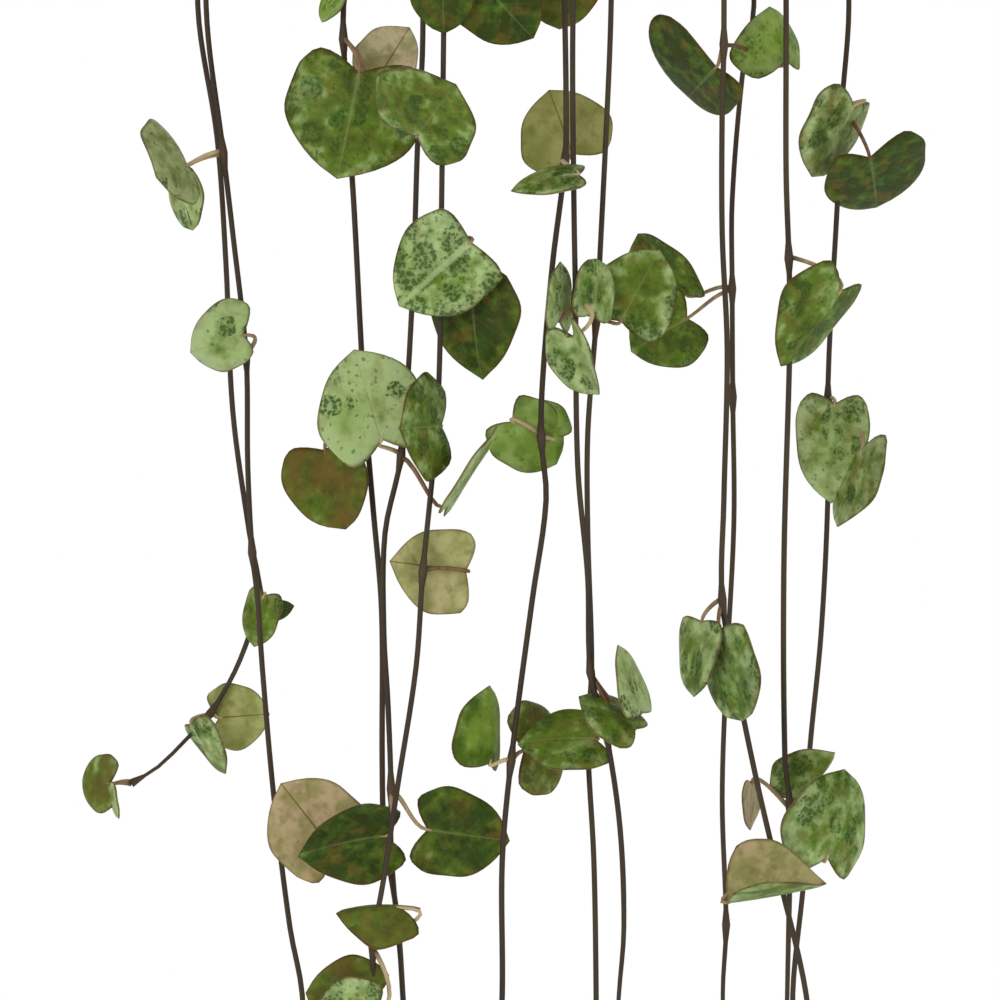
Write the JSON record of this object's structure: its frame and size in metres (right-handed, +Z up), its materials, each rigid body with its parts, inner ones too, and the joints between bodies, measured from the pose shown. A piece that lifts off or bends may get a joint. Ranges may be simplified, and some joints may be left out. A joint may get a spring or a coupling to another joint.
{
  "type": "potted trailing plant",
  "caption": "String of hearts in a plain hanging pot: thin trailing stems with paired heart-shaped leaves, on a wire hanger with a hook.",
  "frame": {"origin": "inside top of the hook, where it bears on its rail", "axes": "+Z up along the plant's length, -Y to the front, +X to the right as seen from the front"},
  "size_m": [0.1592, 0.1597, 0.5387],
  "materials": {
    "foliage": "waxy leaves, mottled pale and dark green, on dark purplish stems",
    "tuber": "corky, dull",
    "soil": "crumbly, matte",
    "pot": "satin terracotta-coloured",
    "wire": "satin"
  },
  "bodies": {
    "root": {"strand_01": "foliage", "strand_02": "foliage", "strand_03": "foliage", "strand_04": "foliage", "strand_05": "foliage", "strand_06": "foliage", "strand_07": "foliage", "strand_08": "foliage", "strand_09": "foliage", "strand_10": "foliage", "strand_11": "foliage", "strand_12": "foliage", "strand_13": "foliage", "strand_14": "foliage", "strand_15": "foliage", "strand_16": "foliage", "strand_17": "foliage", "strand_18": "foliage", "tuber_1": "tuber", "tuber_2": "tuber", "tuber_3": "tuber", "soil": "soil", "pot": "pot", "hanger_hook": "wire", "hanger_wire_1": "wire", "hanger_wire_2": "wire", "hanger_wire_3": "wire"}
  },
  "joints": []
}
